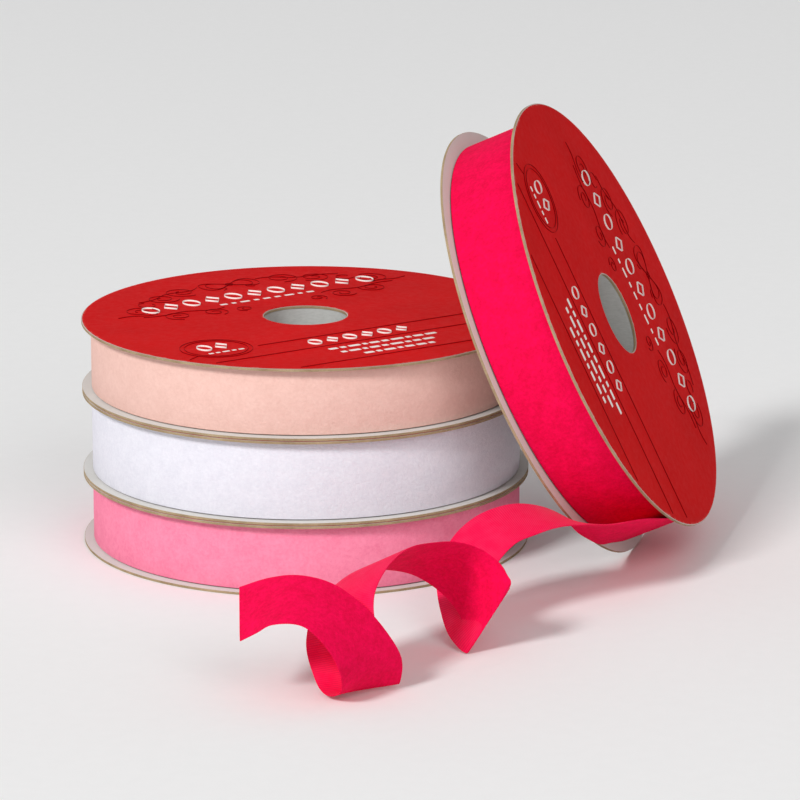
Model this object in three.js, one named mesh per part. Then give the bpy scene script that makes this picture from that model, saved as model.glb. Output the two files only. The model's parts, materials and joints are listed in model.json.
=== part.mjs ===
// Set of four ribbon spools. Three lie in a stack, the fourth leans on the stack's upper edge,
// and the free end of its ribbon runs out over the table in two curls.
// Millimetres, +Z up. Origin: the middle of the whole set's base, on the table.
// Every spool is two paperboard flanges glued to a bore tube and to a wide winding drum, with a
// printed paper label on the front flange and one ribbon wound on the drum.

import * as THREE from 'three';

// ---- driving dimensions ----
const FLANGE_RADIUS = 54;        // outer radius of both flanges
const BOARD = 0.6;               // paperboard thickness of a flange
const LABEL = 0.08;              // thickness of the printed paper on the front flange
const LABEL_INSET = 0.25;        // bare board left round the label's outer edge and bore
const BORE_RADIUS = 10;          // clear bore through every spool
const TUBE_WALL = 0.9;           // wall of the bore tube
const DRUM_RADIUS = 48.8;        // outer radius of the winding drum
const LOW_DRUM_RADIUS = 47.7;    // the crimson spool's drum, wound less high
const DRUM_WALL = 1.2;           // wall of the winding drum
const RIBBON_THICKNESS = 0.36;   // one layer of ribbon, wound
const RIBBON_LENGTH = 2743;      // 9 ft on every spool
const NARROW_RIBBON = 15.9;      // peach and light pink, 5/8 in
const WHITE_RIBBON = 18.9;       // white
const CRIMSON_RIBBON = 17.9;     // crimson
const GLUE = 0.06;               // glue line between board, tube and drum
const SIDE_PLAY = 0.2;           // ribbon edge to flange, each side
const STACK_PLAY = 0.06;         // air between two stacked spools
const LEAN = 24.86;              // degrees the leaning spool's axis rises from level
const LEAN_HEADING = -14.5;      // degrees from +X to where its label faces, seen from above
const LEAN_OFFSET = 11.1;        // sideways shift of the leaning spool along its contact line
const LEAN_PLAY = 0.3;           // air between the leaning spool and the stack's edge
const FLOOR_PLAY = 0.05;         // air under the leaning spool and under the ribbon's curls
const TAPE_WIDTH = 12;           // tape that holds a closed spool's ribbon end
const TAPE_LENGTH = 20;
const TAPE_THICKNESS = 0.15;
const TAPE_HEADING = 70;         // degrees from +X to the tape, on the far side of the stack
const TAIL_THICKNESS = 0.6;      // free ribbon
const PAY_OFF = 14;              // degrees from the roll's lowest line to where the ribbon leaves
const RIM_CLEARANCE = 0.374;     // from the flanges' rims out to the end of the straight run
const ROLL_CLEARANCE = 0.6;      // free ribbon to the roll and to both flanges
const TAIL_BREAK = 0.8;          // air where the tail's two solids meet
const SEGMENTS = 64;             // facets round a spool
const TAIL_STEPS = 4;            // strip sections between two stations

// Stations of the free ribbon, from the crest beside the leaning spool to the cut end: centre
// x, y, z, then the direction across the ribbon from its near edge to its far edge as a heading
// from +X and a lift above level, in degrees. They are laid for a ribbon STATION_WIDTH wide whose
// straight run ends with its near edge at STATION_DATUM. They move with that point: the lead's in
// all three directions, less and less in height, and the tail's over the table. A wider ribbon
// keeps its near edge and grows towards its far one.
const STATION_WIDTH = 16.7;
const STATION_DATUM = [70.497, -36.71, 7.814];
const LEAD_STATIONS = [
  [72, -49, 15.5, -36, 22],
  [67.5, -53, 17, -59, 16],
  [63, -56, 19, -79, 10],
];
const TAIL_STATIONS = [
  [57.5, -59.5, 21, -80, 0],
  [51, -63.5, 21.5, -75, -9],
  [45.5, -67, 20.5, -65, -9],
  [41.5, -70, 18, -60, -10],
  [39, -73.5, 15.5, -55, -8],
  [38, -77.5, 13.5, -46, 1],
  [38, -82, 11.5, -37, 12],
  [39, -88, 9.5, -27, 28],
  [40.5, -94, 8, -9, 45],
  [42.5, -98, 7.7, 4, 58],
  [43, -97.5, 9.5, -14, 58],
  [42, -95, 11.5, -31, 51],
  [40.5, -93, 14, -36, 46],
  [36.5, -91.5, 17.5, -41, 43],
  [31, -93, 20.7, -45, 37],
  [25, -98, 22.8, -45, 32],
  [19, -105, 24, -44, 28],
  [14, -112, 22, -42, 25],
  [10.5, -118.5, 18, -36, 20],
  [10, -122, 12, -22, 18],
  [12.5, -124, 5, 0, 10],
  [14.5, -126.5, 1, 24, 0],
  [16.5, -130, 5, 38, 14],
  [15, -132.5, 11, 53, 17],
  [11, -132.5, 17, 62, 16],
  [5, -131, 21.5, 68, 16],
  [-2, -129, 22, 71, 22],
  [-7, -126.5, 20, 82, 26],
  [-12, -124, 17.3, 92, 25],
];

const PAPERBOARD = { color: 0xa3845f, roughness: 0.85, metalness: 0 };
const PRINT = { color: 0xc8141a, roughness: 0.45, metalness: 0 };
const TUBE = { color: 0xb9bab8, roughness: 0.7, metalness: 0 };
const TAPE = { color: 0xdfe3e6, roughness: 0.2, metalness: 0 };
const PEACH = { color: 0xf2cac0, roughness: 0.8, metalness: 0 };
const WHITE = { color: 0xeeeff6, roughness: 0.8, metalness: 0 };
const PINK = { color: 0xfc94b2, roughness: 0.8, metalness: 0 };
const CRIMSON = { color: 0xf00a4c, roughness: 0.8, metalness: 0 };

const RAD = Math.PI / 180;
const boardStack = 2 * BOARD + LABEL + GLUE;   // both flanges and the label, without the ribbon

const pitchOf = (ribbonWidth) => ribbonWidth + boardStack;
const heading = (degrees) => new THREE.Vector3(Math.cos(degrees * RAD), Math.sin(degrees * RAD), 0);

// Outer radius of a ribbon of this length wound on a drum.
function rollRadius(drumRadius, length) {
  const inner = drumRadius + GLUE;
  return Math.sqrt(inner ** 2 + (length * RIBBON_THICKNESS) / Math.PI);
}

// A square-edged ring round the local Z axis, from the height low to the height high.
function ringGeometry(inner, outer, low, high) {
  const profile = [[inner, low], [outer, low], [outer, high], [inner, high], [inner, low]];
  const geometry = new THREE.LatheGeometry(profile.map(([r, z]) => new THREE.Vector2(r, z)), SEGMENTS);
  return geometry.rotateX(Math.PI / 2);
}

function makeMesh(name, geometry, finish) {
  const mesh = new THREE.Mesh(geometry, new THREE.MeshStandardMaterial(finish));
  mesh.name = name;
  return mesh;
}

// A short curved strip of tape on the roll's outer face.
function tapeGeometry(radius, middle) {
  const half = TAPE_LENGTH / radius / 2;
  const centre = TAPE_HEADING * RAD;
  const low = radius + GLUE;
  const shape = new THREE.Shape();
  shape.absarc(0, 0, low + TAPE_THICKNESS, centre - half, centre + half, false);
  shape.absarc(0, 0, low, centre + half, centre - half, true);
  const settings = { depth: TAPE_WIDTH, bevelEnabled: false, curveSegments: 8 };
  const geometry = new THREE.ExtrudeGeometry(shape, settings);
  return geometry.translate(0, 0, middle - TAPE_WIDTH / 2);
}

// One spool, back face at local z = 0 and label at the top.
function makeSpool(name, ribbonWidth, ribbonFinish, drumRadius, woundLength, taped) {
  const spool = new THREE.Group();
  const frontBoard = BOARD + ribbonWidth;
  const labelFace = frontBoard + BOARD + GLUE;
  const outer = rollRadius(drumRadius, woundLength);
  const add = (part, geometry, finish) => spool.add(makeMesh(`${name}_${part}`, geometry, finish));

  add('back_flange', ringGeometry(BORE_RADIUS, FLANGE_RADIUS, 0, BOARD), PAPERBOARD);
  add('core_tube', ringGeometry(BORE_RADIUS, BORE_RADIUS + TUBE_WALL, BOARD + GLUE, frontBoard - GLUE), TUBE);
  add('winding_drum',
    ringGeometry(drumRadius - DRUM_WALL, drumRadius, BOARD + GLUE, frontBoard - GLUE), PAPERBOARD);
  add('ribbon_roll',
    ringGeometry(drumRadius + GLUE, outer, BOARD + SIDE_PLAY, frontBoard - SIDE_PLAY), ribbonFinish);
  add('front_flange', ringGeometry(BORE_RADIUS, FLANGE_RADIUS, frontBoard, frontBoard + BOARD), PAPERBOARD);
  add('front_label',
    ringGeometry(BORE_RADIUS + LABEL_INSET, FLANGE_RADIUS - LABEL_INSET, labelFace, labelFace + LABEL), PRINT);
  if (taped) add('end_tape', tapeGeometry(outer, BOARD + ribbonWidth / 2), TAPE);
  return spool;
}

// A closed strip of ribbon through the frames, each with a centre, an across and a face direction.
function stripGeometry(frames, width) {
  const positions = [];
  for (const { centre, across, face } of frames) {
    for (const [side, skin] of [[-1, -1], [-1, 1], [1, 1], [1, -1]]) {
      const corner = centre.clone().addScaledVector(across, side * width / 2);
      corner.addScaledVector(face, skin * TAIL_THICKNESS / 2);
      positions.push(corner.x, corner.y, corner.z);
    }
  }
  const index = [0, 1, 2, 0, 2, 3];
  for (let i = 0; i + 1 < frames.length; i += 1) {
    for (let k = 0; k < 4; k += 1) {
      const a = 4 * i + k;
      const b = 4 * i + ((k + 1) % 4);
      index.push(a, a + 4, b + 4, a, b + 4, b);
    }
  }
  const end = 4 * (frames.length - 1);
  index.push(end, end + 2, end + 1, end, end + 3, end + 2);
  const geometry = new THREE.BufferGeometry();
  geometry.setAttribute('position', new THREE.Float32BufferAttribute(positions, 3));
  geometry.setIndex(index);
  geometry.computeVertexNormals();
  return geometry;
}

// Smooth frames through stations, each { centre, across }.
function framesThrough(stations) {
  const centres = new THREE.CatmullRomCurve3(stations.map((s) => s.centre), false, 'centripetal');
  const acrosses = new THREE.CatmullRomCurve3(stations.map((s) => s.across), false, 'centripetal');
  const count = (stations.length - 1) * TAIL_STEPS;
  const frames = [];
  for (let i = 0; i <= count; i += 1) {
    const along = centres.getTangent(i / count);
    const across = acrosses.getPoint(i / count).normalize();
    const face = along.clone().cross(across).normalize();
    frames.push({ centre: centres.getPoint(i / count), across, face });
  }
  return frames;
}

function stationAt([x, y, z, turn, lift]) {
  const across = heading(turn).multiplyScalar(Math.cos(lift * RAD));
  across.z = Math.sin(lift * RAD);
  return { centre: new THREE.Vector3(x, y, z), across };
}

// Move a station with the end of the straight run, by this share of its rise, and widen it.
function moveStation(station, shift, share) {
  station.centre.add(new THREE.Vector3(shift.x, shift.y, shift.z * share));
  station.centre.addScaledVector(station.across, (freeWidth - STATION_WIDTH) / 2);
}

// ---- the stack ----
const stack = new THREE.Group();
const stackPlan = [
  ['pink', NARROW_RIBBON, PINK],
  ['white', WHITE_RIBBON, WHITE],
  ['peach', NARROW_RIBBON, PEACH],
];
let stackHeight = 0;
for (const [name, width, finish] of stackPlan) {
  const spool = makeSpool(name, width, finish, DRUM_RADIUS, RIBBON_LENGTH, true);
  spool.position.z = stackHeight;
  stack.add(spool);
  stackHeight += pitchOf(width) + STACK_PLAY;
}
const stackTop = stackHeight - STACK_PLAY;

// ---- the leaning spool ----
// Its back flange stands on the table on its lowest point and leans on the edge of the top label.
const lean = LEAN * RAD;
const axis = heading(LEAN_HEADING).multiplyScalar(Math.cos(lean));
axis.z = Math.sin(lean);
const down = new THREE.Vector3(0, 0, -1).addScaledVector(axis, axis.z).normalize();
const level = new THREE.Vector3().crossVectors(axis, down);
const backCentre = new THREE.Vector3(0, 0, FLANGE_RADIUS * Math.cos(lean) + FLOOR_PLAY);
const reach = axis.z * stackTop + FLANGE_RADIUS * Math.cos(lean) + LEAN_PLAY;
backCentre.addScaledVector(heading(LEAN_HEADING), (reach - axis.z * backCentre.z) / Math.cos(lean));
backCentre.addScaledVector(heading(LEAN_HEADING + 90), LEAN_OFFSET);

// ---- the free ribbon of the leaning spool ----
const freeWidth = CRIMSON_RIBBON - 2 * ROLL_CLEARANCE;
const leadStart = backCentre.clone().addScaledVector(axis, BOARD + CRIMSON_RIBBON / 2);
const payOff = PAY_OFF * RAD;
const outward = down.clone().multiplyScalar(Math.cos(payOff)).addScaledVector(level, -Math.sin(payOff));
const leaving = level.clone().multiplyScalar(-Math.cos(payOff)).addScaledVector(down, -Math.sin(payOff));

const tailStations = TAIL_STATIONS.map(stationAt);
const freeLength = framesThrough(tailStations).reduce(
  (sum, frame, i, all) => (i ? sum + frame.centre.distanceTo(all[i - 1].centre) : 0), 0);
const crimsonWound = RIBBON_LENGTH - freeLength;
const leadRadius = rollRadius(LOW_DRUM_RADIUS, crimsonWound) + ROLL_CLEARANCE + TAIL_THICKNESS / 2;
leadStart.addScaledVector(outward, leadRadius);

const runOut = Math.sqrt((FLANGE_RADIUS + RIM_CLEARANCE) ** 2 - leadRadius ** 2);
const runEnd = leadStart.clone().addScaledVector(leaving, runOut);
runEnd.addScaledVector(axis, -freeWidth / 2);
const stationShift = runEnd.sub(new THREE.Vector3(...STATION_DATUM));
const bendStations = LEAD_STATIONS.map(stationAt);
bendStations.forEach((station, i, all) => moveStation(station, stationShift, 1 - (i + 1) / (all.length + 1)));
tailStations.forEach((station) => moveStation(station, stationShift, 0));

const leadStations = [0, runOut / 2, runOut].map((run) => (
  { centre: leadStart.clone().addScaledVector(leaving, run), across: axis.clone() }));
leadStations.push(...bendStations, tailStations[0]);

const leaningSpool = makeSpool('crimson', CRIMSON_RIBBON, CRIMSON, LOW_DRUM_RADIUS, crimsonWound, false);
leaningSpool.quaternion.setFromRotationMatrix(new THREE.Matrix4().makeBasis(down, level, axis));
leaningSpool.position.copy(backCentre);

const leadFrames = framesThrough(leadStations);
const lastLead = leadFrames[leadFrames.length - 1];
const pullBack = lastLead.centre.clone().sub(leadFrames[leadFrames.length - 2].centre).setLength(TAIL_BREAK);
lastLead.centre.sub(pullBack);
const leadOff = makeMesh('crimson_ribbon_lead', stripGeometry(leadFrames, freeWidth), CRIMSON);
const tail = makeMesh('crimson_ribbon_tail', stripGeometry(framesThrough(tailStations), freeWidth), CRIMSON);

// ---- the set, moved so that the origin is the middle of its base ----
const ribbonSet = new THREE.Group();
ribbonSet.add(stack, leaningSpool, leadOff, tail);
const bounds = new THREE.Box3().setFromObject(ribbonSet, true);
ribbonSet.position.set(-(bounds.min.x + bounds.max.x) / 2, -(bounds.min.y + bounds.max.y) / 2, -bounds.min.z);
ribbonSet.updateMatrixWorld(true);

export default ribbonSet;
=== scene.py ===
"""Looks of a ribbon set: three spools in a stack, and a fourth that leans on the stack's edge.

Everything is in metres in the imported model's frame. A spool is made lying flat round its own
axis, with its back face at height zero, and its finished meshes are then moved to their place.
"""

import json
import logging
import math
from dataclasses import dataclass, field
from enum import Enum
from typing import Callable, Iterable, Optional, Sequence

import bpy
import numpy as np
from mathutils import Matrix, Vector

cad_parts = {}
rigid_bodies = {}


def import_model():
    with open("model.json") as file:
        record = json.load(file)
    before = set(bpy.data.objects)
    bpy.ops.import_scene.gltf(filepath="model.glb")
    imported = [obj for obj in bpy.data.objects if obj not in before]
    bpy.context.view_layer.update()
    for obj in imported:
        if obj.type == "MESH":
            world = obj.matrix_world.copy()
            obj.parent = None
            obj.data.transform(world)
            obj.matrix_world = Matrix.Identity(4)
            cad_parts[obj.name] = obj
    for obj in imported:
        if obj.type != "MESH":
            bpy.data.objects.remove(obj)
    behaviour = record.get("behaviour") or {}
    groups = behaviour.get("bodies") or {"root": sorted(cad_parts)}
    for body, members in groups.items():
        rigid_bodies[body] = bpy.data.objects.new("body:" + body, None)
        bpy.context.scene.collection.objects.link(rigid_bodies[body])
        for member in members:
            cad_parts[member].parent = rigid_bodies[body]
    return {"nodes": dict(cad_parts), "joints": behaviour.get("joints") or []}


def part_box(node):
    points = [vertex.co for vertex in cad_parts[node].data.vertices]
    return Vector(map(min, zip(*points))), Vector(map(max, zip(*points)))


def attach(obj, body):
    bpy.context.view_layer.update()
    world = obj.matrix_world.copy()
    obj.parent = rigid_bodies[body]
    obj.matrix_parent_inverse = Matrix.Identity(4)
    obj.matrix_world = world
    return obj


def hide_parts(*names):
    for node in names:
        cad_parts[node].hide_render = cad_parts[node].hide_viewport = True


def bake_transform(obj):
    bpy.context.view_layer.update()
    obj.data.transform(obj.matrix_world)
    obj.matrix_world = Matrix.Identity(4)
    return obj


for leftover in list(bpy.data.objects):
    bpy.data.objects.remove(leftover, do_unlink=True)
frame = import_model()

LOG = logging.getLogger("ribbon_set")
MM = 0.001

Point = tuple[float, float]
Colour = tuple[float, float, float]

# Millimetres of ribbon on a full spool, and how much of the crimson ribbon runs free.
RIBBON_LENGTH = 2743.0
FREE_LENGTH = 257.0


def linear(red: int, green: int, blue: int) -> Colour:
    """Turn display values into a linear colour.

    Args:
        red: Red from 0 to 255.
        green: Green from 0 to 255.
        blue: Blue from 0 to 255.

    Returns:
        The linear colour.
    """
    def curve(value: int) -> float:
        """Undo the display's curve for one value."""
        share = value / 255
        return share / 12.92 if share <= 0.04045 else ((share + 0.055) / 1.055) ** 2.4

    return curve(red), curve(green), curve(blue)


class Side(Enum):
    """The two faces of a flange."""

    FRONT = "front"
    BACK = "back"


class Ink(Enum):
    """The two inks over the label's red ground."""

    DARK = "dark"
    WHITE = "white"


# ---------------------------------------------------------------- node trees


class NodeTree:
    """Adds nodes to one tree and sets or links their inputs."""

    def __init__(self, tree: bpy.types.NodeTree) -> None:
        """Keep the tree that the nodes go into."""
        self.tree = tree

    def add(self, kind: str, inputs: Optional[dict] = None, **settings: object) -> bpy.types.Node:
        """Add one node.

        Args:
            kind: The node's type name.
            inputs: Input name or number to a value or to the socket that feeds it.
            settings: Properties of the node.

        Returns:
            The new node.
        """
        node = self.tree.nodes.new(kind)
        for name, value in settings.items():
            setattr(node, name, value)
        for name, value in (inputs or {}).items():
            self.feed(node.inputs[name], value)
        return node

    def feed(self, socket: bpy.types.NodeSocket, value: object) -> None:
        """Link a socket to another, or set its value.

        Args:
            socket: The input.
            value: The socket that feeds it, or its value.
        """
        if isinstance(value, bpy.types.NodeSocket):
            self.tree.links.new(value, socket)
        else:
            socket.default_value = value


class ShaderTree(NodeTree):
    """A material's node tree round one Principled shader."""

    def __init__(self, name: str) -> None:
        """Start a material.

        Args:
            name: The material's name.
        """
        self.material = bpy.data.materials.new(name)
        self.material.use_nodes = True
        super().__init__(self.material.node_tree)
        self.shader = self.tree.nodes["Principled BSDF"]
        self.place = self.add("ShaderNodeTexCoord").outputs["Object"]

    def noise(self, scale: float, detail: float = 3.0, vector: object = None,
              roughness: float = 0.55) -> bpy.types.NodeSocket:
        """Add a noise.

        Args:
            scale: Features to the metre.
            detail: Octaves.
            vector: What the noise reads, or None for the object's coordinates.
            roughness: Weight of the finer octaves.

        Returns:
            The socket of its value.
        """
        node = self.add("ShaderNodeTexNoise", {
            "Vector": self.place if vector is None else vector,
            "Scale": scale, "Detail": detail, "Roughness": roughness})
        return node.outputs["Fac"]

    def stretched(self, scale: Sequence[float]) -> bpy.types.NodeSocket:
        """Object coordinates stretched by three factors."""
        return self.add("ShaderNodeMapping", {"Vector": self.place, "Scale": scale}).outputs[0]

    def attribute(self, name: str) -> bpy.types.NodeSocket:
        """The value that the mesh stores under this name."""
        return self.add("ShaderNodeAttribute", attribute_name=name).outputs["Fac"]

    def span(self, value: object, low: float, high: float, start: float = 0.0,
             end: float = 1.0) -> bpy.types.NodeSocket:
        """Spread a range of a value over another range.

        Args:
            value: The value or its socket.
            low: The value that gives start.
            high: The value that gives end.
            start: The first result.
            end: The last result.

        Returns:
            The socket of the result.
        """
        return self.add("ShaderNodeMapRange", {
            "Value": value, "From Min": low, "From Max": high,
            "To Min": start, "To Max": end}).outputs["Result"]

    def maths(self, operation: str, first: object, second: object) -> bpy.types.NodeSocket:
        """One sum of two values."""
        return self.add("ShaderNodeMath", {0: first, 1: second}, operation=operation).outputs[0]

    def mix(self, share: object, first: object, second: object) -> bpy.types.NodeSocket:
        """Add a colour between two colours.

        Args:
            share: How much of the second colour shows.
            first: A colour or its socket.
            second: A colour or its socket.

        Returns:
            The socket of the mixed colour.
        """
        node = self.add("ShaderNodeMix", data_type="RGBA")
        for place, value in ((0, share), (6, first), (7, second)):
            if isinstance(value, tuple):
                value = (*value, 1.0) if len(value) == 3 else value
            self.feed(node.inputs[place], value)
        return node.outputs[2]

    def bump(self, height: object, depth: float, strength: float = 1.0,
             under: object = None) -> bpy.types.NodeSocket:
        """Bend the normal by a height.

        Args:
            height: The height's socket, from 0 to 1.
            depth: Metres from the lowest to the highest point.
            strength: Share of the bend that shows.
            under: The socket of a coarser bent normal.

        Returns:
            The socket of the normal.
        """
        inputs = {"Height": height, "Distance": depth, "Strength": strength}
        if under is not None:
            inputs["Normal"] = under
        return self.add("ShaderNodeBump", inputs).outputs[0]

    def finish(self, colour: object, roughness: object, normal: object = None,
               **plain: object) -> bpy.types.Material:
        """Feed the shader.

        Args:
            colour: Base colour or its socket.
            roughness: Roughness or its socket.
            normal: The bent normal's socket.
            plain: Other inputs, underscores for spaces, set directly.

        Returns:
            The material.
        """
        if isinstance(colour, tuple):
            colour = (*colour, 1.0)
        self.feed(self.shader.inputs["Base Color"], colour)
        self.feed(self.shader.inputs["Roughness"], roughness)
        if normal is not None:
            self.feed(self.shader.inputs["Normal"], normal)
        for name, value in plain.items():
            self.shader.inputs[name.replace("_", " ")].default_value = value
        return self.material


# ---------------------------------------------------------------- finishes


@dataclass(frozen=True)
class RibbonFinish:
    """Brushed ribbon: a felted face with a mottled nap, and a tightly ribbed back."""

    name: str
    face: Colour
    shade: Colour
    back: Colour
    nap: float = 1.0

    def face_material(self) -> bpy.types.Material:
        """Make the felted face.

        Returns:
            The material.
        """
        tree = ShaderTree(f"{self.name}_ribbon_face")
        blotch = tree.span(tree.noise(330, 4.0), 0.36, 0.64)
        pile = tree.span(tree.noise(1250, 5.0, roughness=0.7), 0.34, 0.66)
        fibre = tree.noise(5200, 2.0)
        tone = tree.maths("ADD", tree.maths("MULTIPLY", blotch, 0.35),
                          tree.maths("MULTIPLY", pile, 0.65))
        colour = tree.mix(tree.maths("MULTIPLY", tone, self.nap), self.face, self.shade)
        low = tree.bump(pile, 0.00012, 0.45)
        normal = tree.bump(fibre, 0.00005, 0.6, low)
        return tree.finish(colour, 0.88, normal, Sheen_Weight=0.08, Sheen_Roughness=0.45,
                           Sheen_Tint=(*self.face, 1.0), Specular_IOR_Level=0.08)

    def back_material(self) -> bpy.types.Material:
        """Make the ribbed back: the ribs are in the mesh, the yarn's twist is here, and the
        grooves between the ribs are darkened with painted shade.

        Returns:
            The material.
        """
        tree = ShaderTree(f"{self.name}_ribbon_back")
        yarn = tree.noise(5200, 3.0)
        streak = tree.span(tree.noise(380, 2.0), 0.35, 0.65)
        woven = tree.mix(streak, self.back, self.face)
        # painted shade: the grooves between the ribs are darkened towards the shade colour
        groove = tree.maths("MULTIPLY", tree.attribute("groove"), 0.6)
        colour = tree.mix(groove, woven, self.shade)
        normal = tree.bump(yarn, 0.00004, 0.5)
        return tree.finish(colour, 0.7, normal, Sheen_Weight=0.06, Sheen_Roughness=0.4,
                           Specular_IOR_Level=0.12)


@dataclass(frozen=True)
class BoardFinish:
    """Paperboard: a pale liner on both faces and brown plies on the cut edge."""

    liner: Colour = linear(210, 208, 204)
    edge: Colour = linear(196, 174, 140)
    edge_dark: Colour = linear(136, 112, 80)
    liner_cloud: Colour = linear(190, 187, 182)

    def liner_material(self) -> bpy.types.Material:
        """Make the smooth paper liner with its faint fibres.

        Returns:
            The material.
        """
        tree = ShaderTree("flange_liner")
        fibre = tree.noise(1, 6.0, tree.stretched((900, 2600, 2600)))
        cloud = tree.span(tree.noise(60, 3.0), 0.35, 0.65)
        colour = tree.mix(tree.maths("MULTIPLY", cloud, 0.35), self.liner, self.liner_cloud)
        return tree.finish(colour, 0.72, tree.bump(fibre, 0.00003, 0.35))

    def edge_material(self) -> bpy.types.Material:
        """Make the cut edge, rough and fuzzy, darker between the plies.

        Returns:
            The material.
        """
        tree = ShaderTree("flange_cut_edge")
        fuzz = tree.span(tree.noise(2400, 6.0, roughness=0.75), 0.3, 0.7)
        stain = tree.span(tree.noise(170, 3.0), 0.35, 0.65)
        ply = tree.attribute("ply")
        shade = tree.maths("MULTIPLY", tree.maths("ADD", tree.maths("ADD", fuzz, stain), ply), 0.4)
        colour = tree.mix(shade, self.edge, self.edge_dark)
        return tree.finish(colour, 0.92, tree.bump(fuzz, 0.00008, 0.8))


@dataclass(frozen=True)
class PrintFinish:
    """Red paper label, with two inks over it, rubbed pale along its cut edges."""

    ground: Colour = linear(214, 10, 14)
    ground_deep: Colour = linear(196, 4, 7)
    paper: Colour = linear(226, 196, 178)
    dark: Colour = linear(108, 8, 14)
    white: Colour = linear(246, 240, 236)

    def label_material(self) -> bpy.types.Material:
        """Make the printed ground.

        Returns:
            The material.
        """
        tree = ShaderTree("label_red")
        cloud = tree.span(tree.noise(45, 3.0), 0.3, 0.7)
        speck = tree.span(tree.noise(2600, 4.0), 0.6, 0.8, 0.0, 0.5)
        ink = tree.mix(tree.maths("ADD", tree.maths("MULTIPLY", cloud, 0.6), speck),
                       self.ground, self.ground_deep)
        rub = tree.maths("MULTIPLY", tree.attribute("rim"),
                         tree.span(tree.noise(520, 5.0, roughness=0.8), 0.5, 0.7, 0.0, 0.6))
        colour = tree.mix(rub, ink, self.paper)
        rough = tree.span(tree.noise(700, 3.0), 0.3, 0.7, 0.5, 0.64)
        return tree.finish(colour, rough, tree.bump(tree.noise(1900, 4.0), 0.00002, 0.25),
                           Specular_IOR_Level=0.1, IOR=1.2)

    def ink_material(self, ink: Ink) -> bpy.types.Material:
        """Make one of the inks, slightly starved where the paper's tooth shows.

        Args:
            ink: Which of them.

        Returns:
            The material.
        """
        tree = ShaderTree(f"label_ink_{ink.value}")
        solid = self.dark if ink is Ink.DARK else self.white
        starved = tree.span(tree.noise(3000, 5.0), 0.56, 0.74, 0.0, 0.4)
        return tree.finish(tree.mix(starved, solid, self.ground), 0.55,
                           Specular_IOR_Level=0.1, IOR=1.2)


@dataclass(frozen=True)
class TubeFinish:
    """Wound grey board of the bore tube."""

    grey: Colour = linear(198, 198, 195)
    deep: Colour = linear(168, 168, 164)

    def material(self) -> bpy.types.Material:
        """Make smooth grey board with fibres and a dark seam.

        Returns:
            The material.
        """
        tree = ShaderTree("bore_tube_board")
        fibre = tree.span(tree.noise(1, 5.0, tree.stretched((700, 700, 2400))), 0.3, 0.7)
        seam = tree.attribute("seam")
        tone = tree.maths("MAXIMUM", tree.maths("MULTIPLY", fibre, 0.5), seam)
        return tree.finish(tree.mix(tone, self.grey, self.deep), 0.66,
                           tree.bump(fibre, 0.00004, 0.4))


@dataclass(frozen=True)
class TapeFinish:
    """Clear film that holds a closed ribbon's end."""

    tint: Colour = linear(236, 240, 242)

    def material(self) -> bpy.types.Material:
        """Make glossy film, a little streaked by its glue.

        Returns:
            The material.
        """
        tree = ShaderTree("clear_tape")
        glue = tree.span(tree.noise(260, 4.0), 0.3, 0.7, 0.12, 0.3)
        return tree.finish(self.tint, glue, tree.bump(tree.noise(500, 2.0), 0.00004, 0.3),
                           Alpha=0.42, Specular_IOR_Level=0.6, Coat_Weight=0.4)


# ---------------------------------------------------------------- meshes


@dataclass
class Shell:
    """Corners and faces of one closed mesh, in metres, with what its materials read."""

    corners: np.ndarray
    faces: list[tuple[int, ...]]
    finish_of_face: Optional[list[int]] = None
    values: dict[str, np.ndarray] = field(default_factory=dict)

    def to_object(self, name: str, place: Matrix, materials: Sequence[bpy.types.Material],
                  smooth_angle: float = 35.0) -> bpy.types.Object:
        """Make the object.

        Args:
            name: The piece's name.
            place: Where the spool's own frame lies in the model's frame.
            materials: The piece's materials, in slot order.
            smooth_angle: Edges sharper than this many degrees stay crisp.

        Returns:
            The object, at the origin, with its place in its mesh.
        """
        mesh = bpy.data.meshes.new(name)
        mesh.from_pydata([tuple(c) for c in self.corners], [], self.faces)
        for material in materials:
            mesh.materials.append(material)
        if self.finish_of_face is not None:
            mesh.polygons.foreach_set("material_index", self.finish_of_face)
        for key, value in self.values.items():
            store = mesh.attributes.new(key, "FLOAT", "POINT")
            store.data.foreach_set("value", np.asarray(value, np.float32))
        mesh.transform(place)
        mesh.update()
        mesh.shade_smooth()
        mesh.set_sharp_from_angle(angle=math.radians(smooth_angle))
        piece = bpy.data.objects.new(name, mesh)
        bpy.context.scene.collection.objects.link(piece)
        return piece


def lathe(profile: Sequence[Point], segments: int,
          push: Optional[Callable[[np.ndarray, int], np.ndarray]] = None) -> Shell:
    """Turn a closed outline round the Z axis.

    Args:
        profile: (radius, height) corners, anticlockwise with the radius to the right.
        segments: Steps round the axis.
        push: Takes the angles and a corner's number, and gives how far it moves outward.

    Returns:
        The closed shell, its faces outward, with its face rows in profile order.
    """
    angles = np.arange(segments) * 2 * math.pi / segments
    count = len(profile)
    corners = np.zeros((segments, count, 3))
    for j, (radius, height) in enumerate(profile):
        reach = np.full(segments, radius)
        if push is not None:
            reach = reach + push(angles, j)
        corners[:, j] = np.stack([reach * np.cos(angles), reach * np.sin(angles),
                                  np.full(segments, height)], axis=1)
    faces = []
    for i in range(segments):
        here, there = i * count, ((i + 1) % segments) * count
        for j in range(count):
            k = (j + 1) % count
            faces.append((here + j, there + j, there + k, here + k))
    return Shell(corners.reshape(-1, 3), faces)


def applied(piece: bpy.types.Object, place: Matrix) -> bpy.types.Object:
    """Turn a piece's modifiers into a plain mesh and move it to its place.

    Args:
        piece: An object at the origin.
        place: Where its own frame lies in the model's frame.

    Returns:
        The same object.
    """
    bpy.context.view_layer.update()
    seen = piece.evaluated_get(bpy.context.evaluated_depsgraph_get())
    mesh = bpy.data.meshes.new_from_object(seen)
    piece.modifiers.clear()
    piece.data = mesh
    mesh.transform(place)
    return piece


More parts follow.
